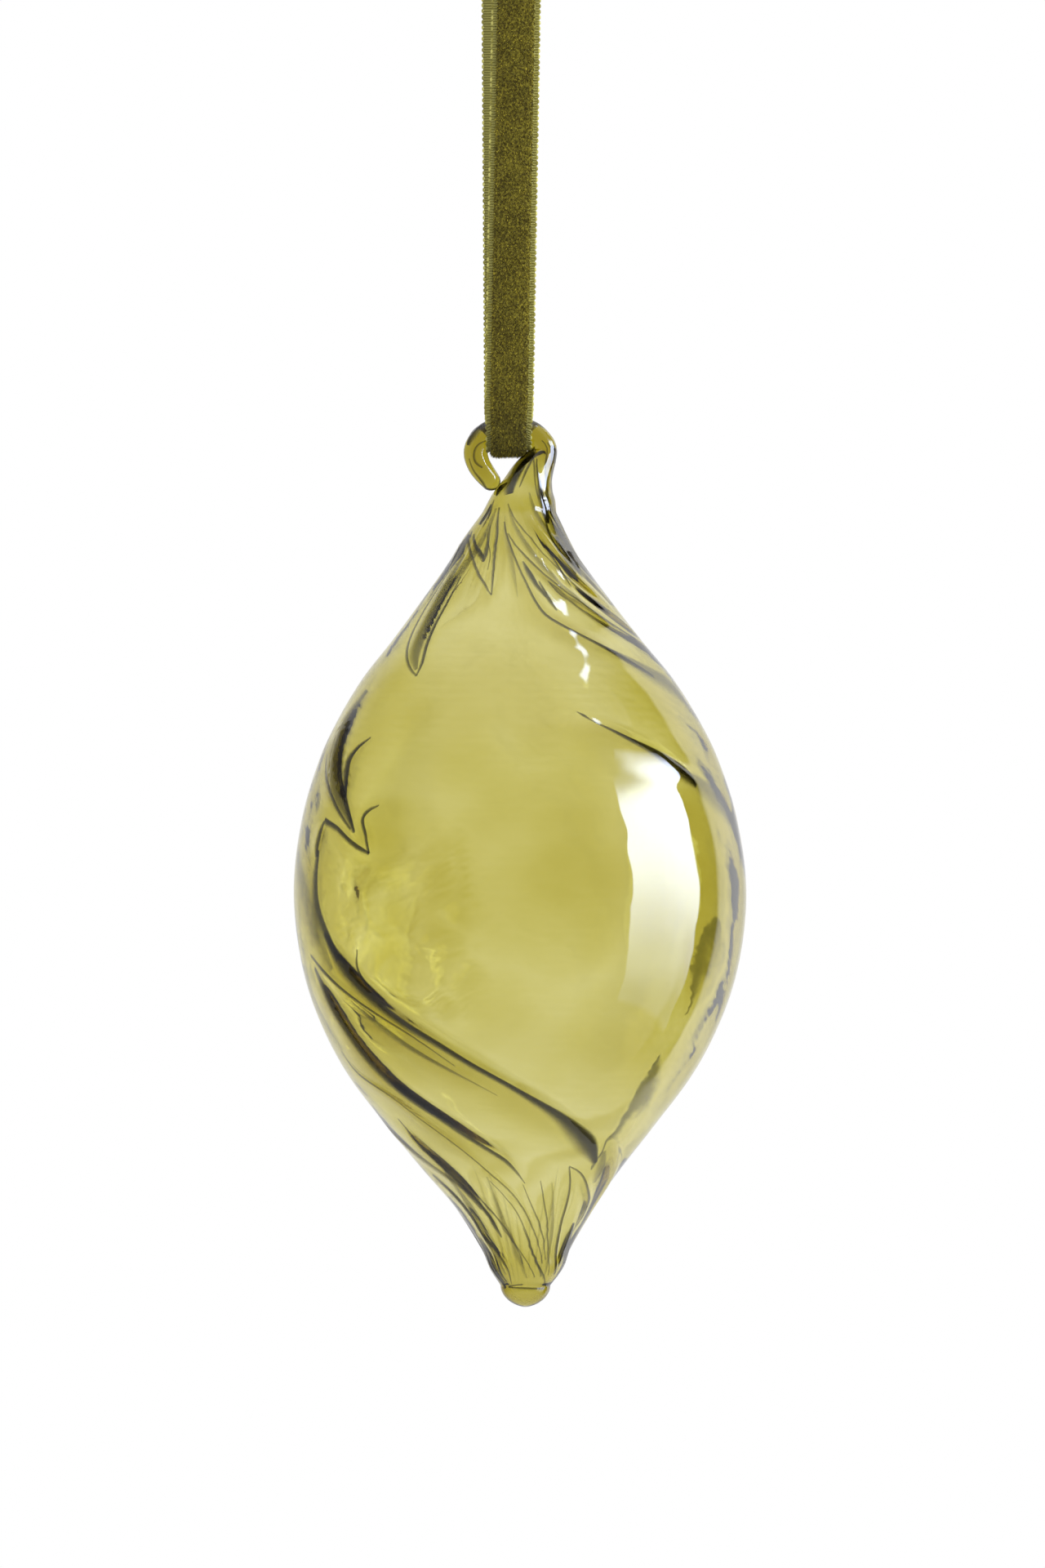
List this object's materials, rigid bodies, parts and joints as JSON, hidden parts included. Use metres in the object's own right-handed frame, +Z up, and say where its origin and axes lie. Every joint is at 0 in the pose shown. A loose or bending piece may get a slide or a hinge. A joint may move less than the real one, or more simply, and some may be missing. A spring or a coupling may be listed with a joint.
{
  "type": "hanging glass ornament",
  "caption": "Blown glass drop ornament with pointed, twisted ends and a drawn glass hook, hung from a knotted velvet ribbon loop.",
  "frame": {"origin": "middle of the peg or twig that the ribbon's loop hangs on, just under the knot", "axes": "+Z up, along the hanging ribbon; +X to the right along the peg, with the hook's arch in the plane of X and Z; the front faces -Y"},
  "size_m": [0.062, 0.0614, 0.2074],
  "materials": {
    "glass": "clear olive green glass tinted all through, fire-polished and smooth",
    "velvet": "olive velvet pile on one face, plain woven back and narrow satin edges"
  },
  "bodies": {
    "hanger_ribbon": {"ribbon_knot": "velvet", "ribbon_front_tail": "velvet", "ribbon_back_tail": "velvet", "ribbon_front_strand": "velvet", "ribbon_back_strand": "velvet"},
    "ribbon_eye": {"ribbon_bight": "velvet"},
    "glass_drop": {"glass_bubble": "glass", "hanging_hook": "glass", "tip_bead": "glass"}
  },
  "joints": [
    {"name": "ribbon_twist", "type": "hinge", "parent": "hanger_ribbon", "child": "ribbon_eye", "pos_m": [0, 0, -0.0656], "axis": [0, 0, 1], "range_deg": [-180, 180], "stiffness_Nm_per_rad": 0.00004, "deforming": ["ribbon_front_strand", "ribbon_back_strand"]},
    {"name": "glass_swing", "type": "hinge", "parent": "ribbon_eye", "child": "glass_drop", "pos_m": [0, 0, -0.0656], "axis": [1, 0, 0], "range_deg": [-90, 90]}
  ]
}
